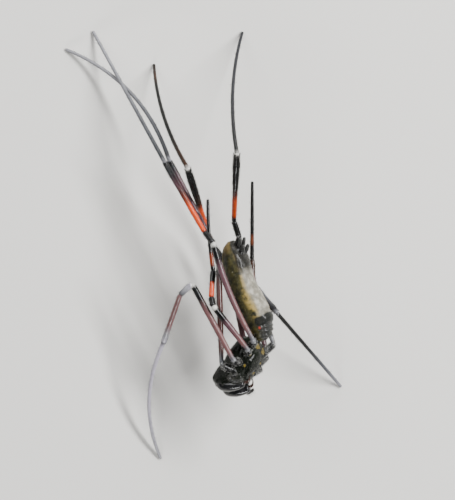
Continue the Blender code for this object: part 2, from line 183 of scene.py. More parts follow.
# Colours are linear. A leg's stops are places along it and the colour there.
legPaint = {
    "black": (0.004, 0.004, 0.004),
    "soot": (0.012, 0.012, 0.012),
    "pink": (0.13, 0.06, 0.06),
    "mauve": (0.085, 0.042, 0.052),
    "wine": (0.046, 0.011, 0.009),
    "orange": (0.52, 0.05, 0.005),
    "ember": (0.36, 0.042, 0.007),
    "rust": (0.17, 0.026, 0.007),
    "russet": (0.09, 0.022, 0.008),
    "brown": (0.035, 0.016, 0.009),
    "lilac": (0.34, 0.32, 0.37),
    "silver": (0.20, 0.20, 0.215),
    "steel": (0.075, 0.076, 0.085),
    "slate": (0.022, 0.023, 0.026),
    # painted highlight: the white glint where light catches the shiny knees and the joints of tibia and foot
    "paintedJointHighlight": (0.55, 0.54, 0.5),
}
# The short pale stops at the knees and at the joints of tibia and foot are painted highlights of light on the
# shiny joints.
legStops = {
    "left_1": (
        (0.0, "black"), (0.95, "soot"), (1.05, "steel"), (1.14, "wine"), (1.8, "wine"), (1.93, "black"),
        (1.985, "paintedJointHighlight"), (2.02, "black"), (2.9, "black"), (3.03, "wine"), (3.3, "mauve"),
        (3.75, "mauve"), (3.9, "slate"), (3.97, "black"), (3.99, "silver"), (4.02, "slate"),
        (4.35, "steel"), (4.7, "silver"), (5.0, "silver"),
    ),
    "left_2": (
        (0.0, "black"), (0.97, "black"), (1.01, "silver"), (1.03, "steel"), (1.12, "pink"),
        (1.65, "pink"), (1.8, "black"), (1.95, "black"), (1.985, "paintedJointHighlight"), (2.1, "lilac"),
        (2.5, "silver"), (2.9, "steel"), (3.04, "pink"), (3.6, "pink"), (3.8, "silver"),
        (3.94, "lilac"), (3.97, "black"), (4.02, "lilac"), (4.5, "lilac"), (5.0, "silver"),
    ),
    "left_3": (
        (0.0, "black"), (0.97, "black"), (1.02, "silver"), (1.05, "steel"), (1.17, "pink"),
        (1.6, "mauve"), (1.72, "black"), (1.92, "black"), (1.94, "paintedJointHighlight"), (1.985, "paintedJointHighlight"),
        (2.02, "black"), (2.95, "black"), (3.02, "orange"), (3.5, "orange"), (3.58, "black"),
        (4.05, "black"), (4.09, "rust"), (4.19, "rust"), (4.26, "black"), (5.0, "black"),
    ),
    "left_4": (
        (0.0, "black"), (0.95, "black"), (1.01, "silver"), (1.04, "steel"), (1.16, "pink"),
        (1.75, "mauve"), (1.86, "black"), (1.965, "black"), (1.978, "paintedJointHighlight"), (1.995, "paintedJointHighlight"),
        (2.02, "black"), (2.96, "black"), (3.03, "orange"), (3.35, "orange"), (3.44, "rust"),
        (3.56, "wine"), (3.7, "mauve"), (3.82, "slate"), (3.97, "black"), (3.99, "silver"),
        (4.02, "slate"), (4.35, "steel"), (4.7, "silver"), (5.0, "silver"),
    ),
    "right_1": (
        (0.0, "black"), (0.9, "soot"), (1.1, "mauve"), (1.7, "wine"), (1.9, "black"), (2.9, "black"),
        (3.1, "rust"), (3.18, "orange"), (3.44, "orange"), (3.54, "brown"), (3.7, "black"),
        (3.95, "black"), (3.985, "paintedJointHighlight"), (4.01, "brown"), (4.3, "black"), (4.8, "black"),
        (4.88, "brown"), (5.0, "black"),
    ),
    "right_2": (
        (0.0, "black"), (0.9, "soot"), (1.1, "mauve"), (1.8, "mauve"), (1.93, "black"), (2.9, "black"),
        (3.1, "slate"), (3.5, "steel"), (3.9, "slate"), (3.98, "silver"), (4.02, "soot"),
        (4.45, "soot"), (4.75, "steel"), (5.0, "silver"),
    ),
    "right_3": (
        (0.0, "black"), (0.9, "soot"), (1.1, "mauve"), (1.8, "wine"), (1.93, "black"), (2.9, "black"),
        (3.1, "brown"), (3.9, "brown"), (4.0, "black"), (4.17, "black"), (4.21, "russet"),
        (4.29, "russet"), (4.34, "black"), (5.0, "black"),
    ),
    "right_4": (
        (0.0, "black"), (0.85, "soot"), (0.95, "silver"), (1.0, "black"), (1.05, "silver"),
        (1.09, "black"), (1.18, "mauve"), (1.4, "pink"), (1.75, "pink"), (1.9, "soot"), (1.96, "paintedJointHighlight"),
        (2.02, "paintedJointHighlight"), (2.1, "black"), (3.05, "black"), (3.09, "ember"), (3.3, "ember"),
        (3.4, "wine"), (3.5, "black"), (3.94, "black"), (3.985, "paintedJointHighlight"), (4.01, "soot"),
        (4.5, "slate"), (5.0, "slate"),
    ),
}


def bell(distance):
    return math.exp(-distance * distance)


def ease(value, low, high):
    part = min(max((value - low) / (high - low), 0.0), 1.0)
    return part * part * (3.0 - 2.0 * part)


def swelling(row, along, aside):
    # a rounded bump or pit: how far out, place along and half length, place aside and half width
    out, place, length, side, width = row
    return out * bell((along - place) / length) * bell((aside - side) / width)


def direction(bearing, rise):
    turn = math.radians(bearing)
    lift = math.radians(rise)
    return Vector((math.cos(turn) * math.cos(lift), math.sin(turn) * math.cos(lift), math.sin(lift)))


def bodyFrame(body):
    # columns point forward, to the animal's left and to its back
    forward = direction(body["bearing"], body["rise"])
    up = (Vector((0, 0, 1)) - forward * forward.z).normalized()
    turn = math.radians(body["roll"])
    back = -(up * math.cos(turn) + up.cross(forward) * math.sin(turn))
    axes = Matrix((forward, back.cross(forward), back)).transposed()
    return Matrix.Translation(Vector(body["centre"])) @ axes.to_4x4()


def inHead(*spots):
    # points of the model in the head's own axes
    toHead = bodyFrame(headBody).inverted()
    return [tuple(toHead @ spot) for spot in spots]


def mirrored(points, side):
    return [(x, y * side, z) for x, y, z in points]


def smoothRow(rows, place):
    # a smooth curve through evenly spaced rows of numbers, read at a place from 0 to 1
    at = min(max(place, 0.0), 1.0) * (len(rows) - 1)
    low = min(int(at), len(rows) - 2)
    part = at - low
    before = rows[max(low - 1, 0)]
    start = rows[low]
    end = rows[low + 1]
    after = rows[min(low + 2, len(rows) - 1)]
    return [
        b
        + (c - a) * part / 2
        + (2 * a - 5 * b + 4 * c - d) * part ** 2 / 2
        + (3 * (b - c) + d - a) * part ** 3 / 2
        for a, b, c, d in zip(before, start, end, after)
    ]


def closeEnds(shape):
    rims = [edge for edge in shape.edges if edge.is_boundary]
    made = bmesh.ops.holes_fill(shape, edges=rims, sides=0)["faces"]
    poles = bmesh.ops.poke(shape, faces=made, center_mode="MEAN")["verts"]
    along = shape.verts.layers.float["along"]
    places = [vertex[along] for vertex in shape.verts]
    beyond = (max(places) - min(places)) * 0.01
    for pole in poles:
        beside = pole.link_edges[0].other_vert(pole)[along]
        pole[along] = beside + (-beyond if beside == min(places) else beyond)
    bmesh.ops.recalc_face_normals(shape, faces=shape.faces)


def ringShell(sides, count, pointAt, alongAt):
    # a closed tube made by extruding one ring again and again. Every vertex keeps its place along,
    # its turn and how far up that turn points, from -1 to 1
    shape = bmesh.new()
    along = shape.verts.layers.float.new("along")
    turn = shape.verts.layers.float.new("turn")
    rise = shape.verts.layers.float.new("rise")
    ring = bmesh.ops.create_circle(shape, cap_ends=False, segments=sides, radius=1.0)["verts"]
    for vertex in ring:
        vertex[turn] = math.atan2(vertex.co.y, vertex.co.x)
        vertex[rise] = math.sin(vertex[turn])
    edges = list(shape.edges)
    for index in range(count):
        if index:
            made = bmesh.ops.extrude_edge_only(shape, edges=edges)["geom"]
            ring = [item for item in made if isinstance(item, bmesh.types.BMVert)]
            edges = [item for item in made if isinstance(item, bmesh.types.BMEdge) and item.is_boundary]
        for vertex in ring:
            vertex[along] = alongAt(index)
            vertex.co = pointAt(index, vertex[turn])
    closeEnds(shape)
    return shape


unwrap = {"edge": 0.01, "turns": 1.05}  # free edge of a patch, and the turns that its height holds


def paintMap(shape, patch, longest):
    # an unwrap as a rectangle: along the piece runs across the patch, its turn runs up it
    along = shape.verts.layers.float["along"]
    turn = shape.verts.layers.float["turn"]
    uv = shape.loops.layers.uv.new("OFBake")
    left, low, wide, high = patch
    poles = {vertex for vertex in shape.verts if len(vertex.link_edges) > 4}
    for face in shape.faces:
        rim = [vertex[turn] / math.tau + 0.5 for vertex in face.verts if vertex not in poles]
        crossing = max(rim) - min(rim) > 0.5
        rim = [value + 1.0 if crossing and value < 0.5 else value for value in rim]
        # the middle of an end has no turn of its own and takes that of its two neighbours
        middle = sum(rim) / len(rim)
        for loop in face.loops:
            value = middle if loop.vert in poles else rim.pop(0)
            across = unwrap["edge"] + (1 - 2 * unwrap["edge"]) * loop.vert[along] / longest
            loop[uv].uv = (left + wide * across, low + high * min(value / unwrap["turns"], 1.0))


def addObject(name, data):
    thing = bpy.data.objects.new(name, data)
    bpy.context.scene.collection.objects.link(thing)
    return thing


def joined(name, shapes, materials, shift):
    # one mesh object from several shapes, each with its own material number
    whole = bmesh.new()
    for shape in shapes:
        part = bpy.data.meshes.new("part")
        shape.to_mesh(part)
        shape.free()
        whole.from_mesh(part)
        bpy.data.meshes.remove(part)
    bmesh.ops.translate(whole, vec=shift, verts=whole.verts)
    bmesh.ops.scale(whole, vec=(mm, mm, mm), verts=whole.verts)
    mesh = bpy.data.meshes.new(name)
    whole.to_mesh(mesh)
    whole.free()
    mesh.shade_smooth()
    piece = addObject(name, mesh)
    for material in materials:
        mesh.materials.append(material)
    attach(piece, "root")
    return piece


def setMaterial(shape, number):
    for face in shape.faces:
        face.material_index = number


headRelief = {
    # rows for swelling, in the head's own axes
    "fovea": (-0.38, -1.2, 0.75, 0.0, 0.4),
    "crown": (0.16, 4.2, 1.9, 0.0, 1.9),
    "horn": (0.42, 1.5, 0.26, 0.6, 0.26),
    "lowerBumps": [(0.14, place, 0.4, 1.5, 0.4) for place in (-2.0, -0.2, 1.6)],
    "headFurrow": 0.24,
    "rayFurrow": 0.05,
    "rim": 0.16,
    "rimGroove": 0.26,
    "eyeMound": 0.24,
    "eyeMoundRadius": 0.52,
    # sternum, labium and maxillae: forward, sideways and above, then half length, width and height
    "plates": (
        (-0.3, 0.0, -1.95, 3.0, 2.0, 0.8),
        (3.2, 0.0, -2.1, 0.8, 0.7, 0.65),
        (4.3, 1.4, -1.95, 1.25, 0.8, 0.95),
        (4.3, -1.4, -1.95, 1.25, 0.8, 0.95),
    ),
    "plateSeam": 0.12,
    "uneven": ((0.03, 1.7), (0.012, 6.0)),  # heights and finenesses
}


def plateRise(point):
    # how far the plates of the underside stand out below a point of the head, with a seam round each
    rise = 0.0
    seam = 0.0
    for forward, sideways, above, length, width, height in headRelief["plates"]:
        reach = ((point.x - forward) / length) ** 2 + ((point.y - sideways) / width) ** 2
        if reach < 1.0:
            low = above - height * (1.0 - reach * reach) ** 0.5
            rise = max(rise, point.z - low)
        seam = max(seam, bell((math.sqrt(reach) - 1.06) / 0.09))
    return rise, seam * headRelief["plateSeam"]


def headDetail(point, forward, turn):
    # how far the cuticle of the head stands out or in at a place, in millimetres
    value = headRelief
    side = abs(point.y)
    back = ease(math.sin(turn), 0.05, 0.4)
    out = swelling(value["fovea"], forward, side) * back
    line = (forward + 1.0) - 1.02 * side
    out -= value["headFurrow"] * bell(line / 0.42) * ease(forward, -1.2, 0.2) * back
    rays = math.cos(7.0 * math.atan2(side, -(forward + 0.6))) * ease(-line, 0.4, 1.2)
    out += value["rayFurrow"] * rays * back * ease(math.hypot(forward + 1.2, side), 0.8, 2.2)
    out += swelling(value["crown"], forward, side) * back
    out += swelling(value["horn"], forward, side) * back
    angle = math.degrees(math.asin(max(-1.0, min(1.0, math.sin(turn)))))
    front = 1.0 - ease(forward, 5.6, 6.8)
    out += value["rim"] * bell((angle + 4.0) / 7.0) * front
    out -= value["rimGroove"] * bell((angle + 19.0) / 8.0) * front
    if point.z < -0.8:
        rise, seam = plateRise(point)
        out += (rise - seam) * ease(-point.z, 0.8, 1.3)
        for bump in value["lowerBumps"]:
            out += swelling(bump, forward, side)
    for eye in eyeSpots:
        out += value["eyeMound"] * bell((point - eye).length / value["eyeMoundRadius"])
    for height, fineness in value["uneven"]:
        out += height * noise.noise(point * fineness)
    return out


abdomenRelief = {
    # rows for swelling, by place along and angle from the middle of the belly
    "plate": (0.3, 18.4, 0.95, 0.0, 0.85),
    "furrow": (-0.42, 19.9, 0.3, 0.0, 1.05),
    "sideFurrow": (-0.21, 16.8, 0.45, 0.5, 0.5),
    "dimples": [
        (-0.16, place, length, angle, wide)
        for place in (6.0, 8.6, 11.2, 13.8)
        for length, angle, wide in ((0.34, 0.42, 0.13), (0.4, 2.75, 0.14))
    ],
    "rib": 0.2,
    "ribSpacing": 1.05,
    "ribAngle": 1.05,
    "sideGroove": 0.09,
    "wrinkle": 0.035,
    "wrinkleSpacing": 0.62,
    "uneven": ((0.05, 0.9), (0.018, 3.5)),
}


def abdomenDetail(point, along, turn):
    value = abdomenRelief
    fromBelly = math.acos(max(-1.0, min(1.0, -math.sin(turn))))
    out = swelling(value["plate"], along, fromBelly)
    out += swelling(value["furrow"], along, fromBelly)
    out += swelling(value["sideFurrow"], along, fromBelly)
    ribs = math.sin((along - 20.0) * math.tau / value["ribSpacing"])
    out += value["rib"] * ribs * ease(along, 20.2, 20.9) * bell(fromBelly / value["ribAngle"])
    for dimple in value["dimples"]:
        out += swelling(dimple, along, fromBelly)
    out -= value["sideGroove"] * bell((fromBelly - 0.72) / 0.12) * ease(along, 3.0, 6.0)
    ripple = math.sin((along + 0.5 * noise.noise(point * 0.6)) * math.tau / value["wrinkleSpacing"])
    out += value["wrinkle"] * ripple * bell((fromBelly - 1.5) / 0.7)
    for height, fineness in value["uneven"]:
        out += height * noise.noise(point * fineness)
    return out


def sectionPoint(body, row, turn):
    # a point of a body half's surface before its relief, in its own axes
    along, aside, wide, above, below = row
    roll = math.radians(body["roll"])
    across = math.copysign(abs(math.cos(turn)) ** body["square"], math.cos(turn)) * wide
    up = math.copysign(abs(math.sin(turn)) ** body["square"], math.sin(turn))
    height = (above if up > 0 else below) * up
    return Vector((along, across - aside * math.cos(roll), height - aside * math.sin(roll)))


def bodyShell(body, detail, material, patch):
    # a body half: rings extruded along its axis, then the cuticle's relief along its normals
    count = body["rings"]
    rows = [smoothRow(body["rows"], (1 - math.cos(math.pi * i / (count - 1))) / 2) for i in range(count)]
    shape = ringShell(
        body["sides"],
        count,
        lambda index, turn: sectionPoint(body, rows[index], turn),
        lambda index: rows[index][0],
    )
    along = shape.verts.layers.float["along"]
    turn = shape.verts.layers.float["turn"]
    shape.normal_update()
    moves = [
        (vertex, vertex.normal * detail(vertex.co, vertex[along], vertex[turn])) for vertex in shape.verts
    ]
    for vertex, move in moves:
        vertex.co += move
        vertex[along] -= rows[0][0]
    paintMap(shape, patch, rows[-1][0] - rows[0][0])
    bmesh.ops.transform(shape, matrix=bodyFrame(body), verts=shape.verts)
    setMaterial(shape, material)
    return shape


def jointPoints(name):
    leg = legPoses[name]
    root = mirrored([legRoots[name[-1]]], 1 if name.startswith("left") else -1)[0]
    points = [bodyFrame(headBody) @ Vector(root), Vector(leg["hip"])]
    for length, bearing, rise in leg["bones"]:
        points.append(points[-1] + direction(bearing, rise) * length)
    length, bearing, rise = leg["foot"]
    if rise is None:
        rise = math.degrees(math.asin((legShape["tipHeight"] - points[-1].z) / length))
    points.append(points[-1] + direction(bearing, rise) * length)
    return points


def bowedPoint(start, end, bow, part):
    side = Vector((start.y - end.y, end.x - start.x, 0.0)).normalized() * (end - start).length
    return start.lerp(end, part) + side * (bow * 4 * part * (1 - part))


def legRun(name):
    # stations along a leg: point, place along from 0 to 5, radius. Corners at the joints are rounded
    corners = jointPoints(name)
    femurBow, footBow = legPoses[name]["bows"]
    bows = (0.0, femurBow, 0.0, 0.0, footBow)
    spans = [(corners[i + 1] - corners[i]).length for i in range(5)]
    into = []
    away = []
    for i in range(5):
        away.append((bowedPoint(corners[i], corners[i + 1], bows[i], 0.02) - corners[i]).normalized())
        into.append((corners[i + 1] - bowedPoint(corners[i], corners[i + 1], bows[i], 0.98)).normalized())
    reach = [0.0]
    least, more, most = legShape["rounding"]
    for i in range(1, 5):
        bend = into[i - 1].angle(away[i])
        reach.append(min(least + more * math.tan(bend / 2), most * spans[i - 1], most * spans[i]))
    reach.append(0.0)
    stations = []
    for i in range(5):
        span = spans[i]
        fine = [d for d in legShape["nearJoint"] if d < span * 0.4]
        steps = max(2, round((span - 2 * fine[-1]) / legShape["step"]) + 1)
        middle = np.linspace(fine[-1], span - fine[-1], steps)
        places = sorted(set(fine + [float(d) for d in middle] + [span - d for d in fine]))
        for from0 in places:
            if i and from0 == 0.0:
                continue
            from1 = span - from0
            point = bowedPoint(corners[i], corners[i + 1], bows[i], from0 / span)
            for joint, distance, sign in ((i, from0, 1), (i + 1, from1, -1)):
                if 0 < joint < 5 and distance < reach[joint]:
                    part = 0.5 + 0.5 * sign * distance / reach[joint]
                    before = corners[joint] - into[joint - 1] * reach[joint]
                    after = corners[joint] + away[joint] * reach[joint]
                    corner = corners[joint] * 2 * part * (1 - part)
                    point = before * (1 - part) ** 2 + corner + after * part ** 2
            radius = smoothRow([(r,) for r in legShape["radii"][i]], from0 / span)[0]
            for joint, distance, other in ((i, from0, i - 1), (i + 1, from1, i + 1)):
                if 0 < joint < 5:
                    across = legShape["radii"][other][-1 if other < i else 0]
                    near = legShape["radii"][i][0 if other < i else -1]
                    radius += 0.5 * (across - near) * (1 - ease(distance, 0.0, legShape["blend"]))
                    radius *= 1 - legShape["waist"] * bell(distance / legShape["waistLength"])
                    away0 = (distance - legShape["knucklePlace"]) / legShape["knuckleLength"]
                    radius *= 1 + legShape["knuckle"] * bell(away0)
            stations.append((point, i + from0 / span, radius))
    tip, place, radius = stations[-1]
    for step, narrow in legShape["tip"]:
        stations.append((tip + into[4] * step, place, radius * narrow))
    return stations


def turnedOut(path, index, turn, steepest=1.0):
    # at a point of a path: the direction that a turn of none points in, and that of the given turn.
    # The first is the steepest way up, but not where the path itself is steeper than steepest
    ahead = (path[min(index + 1, len(path) - 1)] - path[max(index - 1, 0)]).normalized()
    steep = abs(ahead.z) > steepest
    across = (ahead.orthogonal() if steep else Vector((0, 0, 1)) - ahead * ahead.z).normalized()
    return across, across * math.cos(turn) + ahead.cross(across) * math.sin(turn)


def legShell(name, material, patch):
    stations = legRun(name)
    points = [row[0] for row in stations]

    def pointAt(index, turn):
        across, outward = turnedOut(points, index, turn)
        radius = stations[index][2] * (1 + legShape["uneven"] * noise.noise(points[index] * 0.8 + across))
        spot = points[index] + outward * radius
        spot.z = max(spot.z, 0.0)
        return spot

    shape = ringShell(legShape["sides"], len(stations), pointAt, lambda index: stations[index][1])
    paintMap(shape, patch, limbEnd)
    setMaterial(shape, material)
    return shape


# waists and swellings at a limb's articles and its rounded tip, with places and lengths as shares of
# the limb's own, and how steep a limb may be before its rings turn from another direction
articleShape = {
    "waist": 0.24,
    "waistLength": 0.012,
    "knuckle": 0.1,
    "knucklePlace": 0.035,
    "knuckleLength": 0.02,
    "tipFrom": 0.94,
    "tipLength": 0.065,
    "tipLeast": 0.02,
    "steepest": 0.95,
}


def limbShell(limb, points, radii, material=0, patch=None):
    # a bent limb through points in the head's axes. Only limbs of the skin have a patch of its unwrap
    place = bodyFrame(headBody)
    value = articleShape
    count = limb["rings"]
    path = [place @ Vector(smoothRow(points, i / (count - 1))) for i in range(count)]
    sizes = []
    for i in range(count):
        part = i / (count - 1)
        size = smoothRow([(r,) for r in radii], part)[0]
        for joint in limb["articles"]:
            knuckle = (abs(part - joint) - value["knucklePlace"]) / value["knuckleLength"]
            waist = bell((part - joint) / value["waistLength"])
            size *= 1 - value["waist"] * waist + value["knuckle"] * bell(knuckle)
        if limb["roundTip"]:
            tip = max((part - value["tipFrom"]) / value["tipLength"], 0.0)
            size *= math.sqrt(max(1 - tip ** 2, value["tipLeast"]))
        sizes.append(size)
    shape = ringShell(
        limb["sides"],
        count,
        lambda index, turn: path[index] + turnedOut(path, index, turn, value["steepest"])[1] * sizes[index],
        lambda index: limbEnd * index / (count - 1),
    )
    if patch:
        paintMap(shape, patch, limbEnd)
    setMaterial(shape, material)
    return shape


jaw = {
    "points": ((5.3, 1.55, 1.6), (7.1, 1.58, 1.0), (6.9, 1.56, -0.6), (6.1, 1.5, -2.3), (4.9, 1.36, -4.0)),
    "radii": (1.15, 1.38, 1.4, 1.2, 0.75),
    "sides": 48,
    "rings": 70,
    "articles": (),
    "roundTip": True,
}
fang = {
    "points": ((4.9, 1.3, -3.6), (4.2, 1.1, -4.32), (3.4, 0.85, -4.22), (2.65, 0.6, -3.55)),
    "radii": (0.4, 0.33, 0.24, 0.12, 0.05),
    "sides": 20,
    "rings": 48,
    "articles": (),
    "roundTip": True,
}
palp = {
    "points": (
        (4.0, 2.4, -1.6),
        (4.8, 3.5, -1.8),
        (5.5, 3.8, -1.3),
        (5.9, 3.55, -2.3),
        (5.3, 3.15, -3.4),
        (4.4, 2.8, -4.0),
    ),
    "radii": (0.55, 0.48, 0.4, 0.42, 0.34, 0.34, 0.36, 0.34, 0.26),
    "sides": 24,
    "rings": 110,
    "articles": (0.2, 0.42, 0.52, 0.7),
    "roundTip": True,
}
pedicel = {
    "start": (-4.3, 0.0, 0.0),
    "radii": (0.8, 0.74, 0.7, 0.74, 0.8),
    "sides": 32,
    "rings": 40,
    "articles": (0.35, 0.6),
    "roundTip": False,
}
spinneret = {
    "base": (2.6, 0.0, -1.6),
    "baseRadius": 1.4,
    # forward, sideways, above, how far each leans back, radius
    "cones": ((1.9, 0.62, -2.6, 1.9, 0.5), (3.0, 0.72, -2.9, 1.3, 0.55), (1.1, 0.45, -1.9, 1.8, 0.42)),
    "sides": 24,
    "rings": 44,
    "articles": (0.52, 0.8),
    "roundTip": True,
}
claw = {
    "length": 0.42,
    "radius": 0.05,
    "spread": 0.1,
    "sides": 8,
    "rings": 12,
    "articles": (),
    "roundTip": True,
}


def pedicelShell(material, patch):
    start = bodyFrame(headBody) @ Vector(pedicel["start"])
    end = bodyFrame(abdomenBody) @ Vector((abdomenBody["rows"][-1][0] - 1.2, 0.0, 0.2))
    run = inHead(*(start.lerp(end, i / 4) for i in range(5)))
    return limbShell(pedicel, run, pedicel["radii"], material, patch)


def spinneretShapes():
    place = bodyFrame(abdomenBody)
    mound = bmesh.new()
    centre = Matrix.Translation(place @ Vector(spinneret["base"]))
    size = spinneret["baseRadius"]
    bmesh.ops.create_uvsphere(mound, u_segments=40, v_segments=24, radius=size, matrix=centre)
    shapes = [mound]
    for forward, sideways, above, lean, radius in spinneret["cones"]:
        for side in (1, -1):
            start = place @ Vector((forward + 0.6, side * sideways * 0.7, above + 1.2))
            end = place @ Vector((forward - lean, side * sideways * 1.2, above - 0.9))
            bend = (start + end) / 2 + (place.to_3x3() @ Vector((0.0, side * 0.08, -0.14)))
            radii = (radius, radius * 1.02, radius * 0.86, radius * 0.55)
            shapes.append(limbShell(spinneret, inHead(start, bend, end), radii))
    return shapes


def clawShapes():
    # two curved claws at the end of each foot
    shapes = []
    length, radius = claw["length"], claw["radius"]
    for name in legNames:
        points = jointPoints(name)
        tip = points[-1]
        ahead = (tip - bowedPoint(points[-2], tip, legPoses[name]["bows"][1], 0.97)).normalized()
        across = ahead.cross(Vector((0, 0, 1))).normalized()
        low = Vector((0, 0, -1)) if tip.z > 1.0 else Vector((0, 0, 0.35))
        for side in (1, -1):
            start = tip - ahead * 0.05 + across * (claw["spread"] * side)
            bend = start + ahead * length * 0.6 + across * (0.05 * side)
            end = start + ahead * length + low * 0.2
            radii = (radius, radius, radius * 0.5, radius * 0.15)
            shape = limbShell(claw, inHead(start, bend, end), radii)
            for vertex in shape.verts:
                vertex.co.z = max(vertex.co.z, 0.01)
            shapes.append(shape)
    return shapes


def hairShape(curl):
    # one hair: a thin cone of three sides, a little bent, along +Z with a height and a width of one
    shape = bmesh.new()
    made = bmesh.ops.create_cone(shape, cap_ends=False, segments=3, radius1=0.5, radius2=0.0, depth=1.0)
    bmesh.ops.translate(shape, vec=(0.0, 0.0, 0.5), verts=made["verts"])
    rising = [edge for edge in shape.edges if abs(edge.verts[0].co.z - edge.verts[1].co.z) > 0.5]
    bmesh.ops.subdivide_edges(shape, edges=rising, cuts=1)
    bmesh.ops.triangulate(shape, faces=shape.faces)
    bmesh.ops.remove_doubles(shape, verts=shape.verts, dist=1e-5)
    for vertex in shape.verts:
        if vertex.co.z >= 0.9:
            vertex.co.x *= 0.3
            vertex.co.y *= 0.3
    points = np.array([vertex.co[:] for vertex in shape.verts])
    faces = np.array([[vertex.index for vertex in face.verts] for face in shape.faces])
    shape.free()
    bend = np.zeros_like(points)
    bend[:, 0] = curl * points[:, 2] ** 2
    return points, bend, faces


def readField(items, field, width=1, kind=float):
    values = np.empty(len(items) * width, kind)
    items.foreach_get(field, values)
    return values if width == 1 else values.reshape(-1, width)


def skinArrays(piece):
    mesh = piece.data
    mesh.calc_loop_triangles()
    triangles = mesh.loop_triangles
    corners = readField(triangles, "vertices", 3, int)
    return {
        "corner": readField(mesh.vertices, "co", 3)[corners],
        "along": readField(mesh.attributes["along"].data, "value")[corners],
        "rise": readField(mesh.attributes["rise"].data, "value")[corners],
        "uv": readField(mesh.uv_layers["OFBake"].uv, "vector", 2)[readField(triangles, "loops", 3, int)],
        "number": readField(triangles, "material_index", 1, int),
    }


def unit(vectors, least=0.0):
    return vectors / (np.linalg.norm(vectors, axis=1)[:, None] + least)


hairPatch = 0.0012  # how wide and long one hair is on the skin's unwrap


def plantCoat(name, skin, coat, materials):
    # grows hairs where coat["where"] gives a number for each square millimetre. The materials are
    # listed by the skin's own material numbers
    corner = skin["corner"]
    cross = np.cross(corner[:, 1] - corner[:, 0], corner[:, 2] - corner[:, 0])
    double = np.linalg.norm(cross, axis=1) + 1e-15
    normal = cross / double[:, None]
    along = skin["along"]
    rise = skin["rise"]
    flow = (along[:, 1] - along[:, 0])[:, None] * np.cross(normal, corner[:, 0] - corner[:, 2])
    flow += (along[:, 2] - along[:, 0])[:, None] * np.cross(normal, corner[:, 1] - corner[:, 0])
    flow = unit(flow, 1e-15)
    thick = coat["where"](skin["number"], along.mean(axis=1), rise.mean(axis=1)) * double / 2 / mm ** 2
    total = int(thick.sum())
    picked = rng.choice(len(thick), total, p=thick / thick.sum())
    weights = rng.dirichlet((1.0, 1.0, 1.0), total)
    roots = (corner[picked] * weights[:, :, None]).sum(axis=1)
    rootUv = (skin["uv"][picked] * weights[:, :, None]).sum(axis=1)
    rootAlong = (along[picked] * weights).sum(axis=1)
    rootRise = (rise[picked] * weights).sum(axis=1)
    up = normal[picked]
    lean = np.radians(coat["lift"] + rng.normal(0.0, coat["liftSpread"], total))[:, None]
    swing = np.radians(rng.normal(0.0, coat["swing"], total))[:, None]
    lie = flow[picked] * coat.get("lie", 1.0)
    lie = lie * np.cos(swing) + np.cross(up, lie) * np.sin(swing)
    ahead = lie * np.cos(lean) + up * np.sin(lean)
    length = coat["length"](rootAlong, skin["number"][picked]) * rng.uniform(0.7, 1.25, total)
    width = coat["width"] * rng.uniform(0.8, 1.2, total)
    across = unit(np.cross(ahead, up), 1e-12)
    inward = np.cross(across, ahead)
    points, bend, faces = hairShape(0.14)
    base = roots - up * (0.02 * mm)
    thin = across[:, None, :] * points[None, :, 1:2] + inward[:, None, :] * points[None, :, 0:1]
    spots = base[:, None, :] + thin * (width * mm)[:, None, None]
    rising = ahead[:, None, :] * points[None, :, 2:3] - inward[:, None, :] * bend[None, :, 0:1]
    spots = spots + rising * (length * mm)[:, None, None]
    spots[:, :, 2] = np.maximum(spots[:, :, 2], 0.00002)
    each = len(points)
    allFaces = (faces[None, :, :] + (np.arange(total) * each)[:, None, None]).reshape(-1, 3)
    mesh = bpy.data.meshes.new(name)
    mesh.vertices.add(total * each)
    mesh.vertices.foreach_set("co", spots.reshape(-1))
    mesh.loops.add(len(allFaces) * 3)
    mesh.loops.foreach_set("vertex_index", allFaces.reshape(-1))
    mesh.polygons.add(len(allFaces))
    mesh.polygons.foreach_set("loop_start", np.arange(len(allFaces)) * 3)
    mesh.update(calc_edges=True)
    mesh.shade_smooth()
    for label, values in (("along", rootAlong), ("rise", rootRise)):
        mesh.attributes.new(label, "FLOAT", "POINT").data.foreach_set("value", np.repeat(values, each))
    patch = points[:, :2] * hairPatch + points[:, 2:3] * hairPatch
    perVertex = (rootUv[:, None, :] + patch[None, :, :]).reshape(-1, 2)
    uv = mesh.uv_layers.new(name="OFBake")
    uv.uv.foreach_set("vector", perVertex[allFaces.reshape(-1)].reshape(-1))
    numbers = skin["number"][picked]
    used = sorted(set(numbers.tolist()))
    for number in used:
        mesh.materials.append(materials[number])
    mesh.polygons.foreach_set("material_index", np.repeat(np.searchsorted(used, numbers), len(faces)))
    piece = addObject(name, mesh)
    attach(piece, "root")
    print("coat", name, total, "hairs,", len(allFaces), "triangles")
    return piece


def feed(socket, value):
    # a number, a colour or another node's output goes into a socket
    if isinstance(value, bpy.types.NodeSocket):
        socket.id_data.links.new(value, socket)
    else:
        socket.default_value = (*value, 1.0) if socket.type == "RGBA" else value


def setInputs(node, **values):
    for name, value in values.items():
        feed(node.inputs[name.replace("_", " ")], value)


def addNode(tree, kind, **inputs):
    node = tree.nodes.new(kind)
    setInputs(node, **inputs)
    return node


def treeOf(*values):
    return next(value.id_data for value in values if isinstance(value, bpy.types.NodeSocket))


def mathNode(operation, *values):
    node = treeOf(*values).nodes.new("ShaderNodeMath")
    node.operation = operation
    for socket, value in zip(node.inputs, values):
        feed(socket, value)
    return node.outputs[0]


def product(first, *others):
    for value in others:
        first = mathNode("MULTIPLY", first, value)
    return first


def softStep(value, low, high):
    node = addNode(treeOf(value), "ShaderNodeMapRange", Value=value, From_Min=low, From_Max=high)
    node.interpolation_type = "SMOOTHSTEP"
    return node.outputs["Result"]


def bellMask(value, middle, half):
    # near one at the middle, falling to none at a half width from it
    return softStep(mathNode("ABSOLUTE", mathNode("SUBTRACT", value, middle)), half, 0.0)


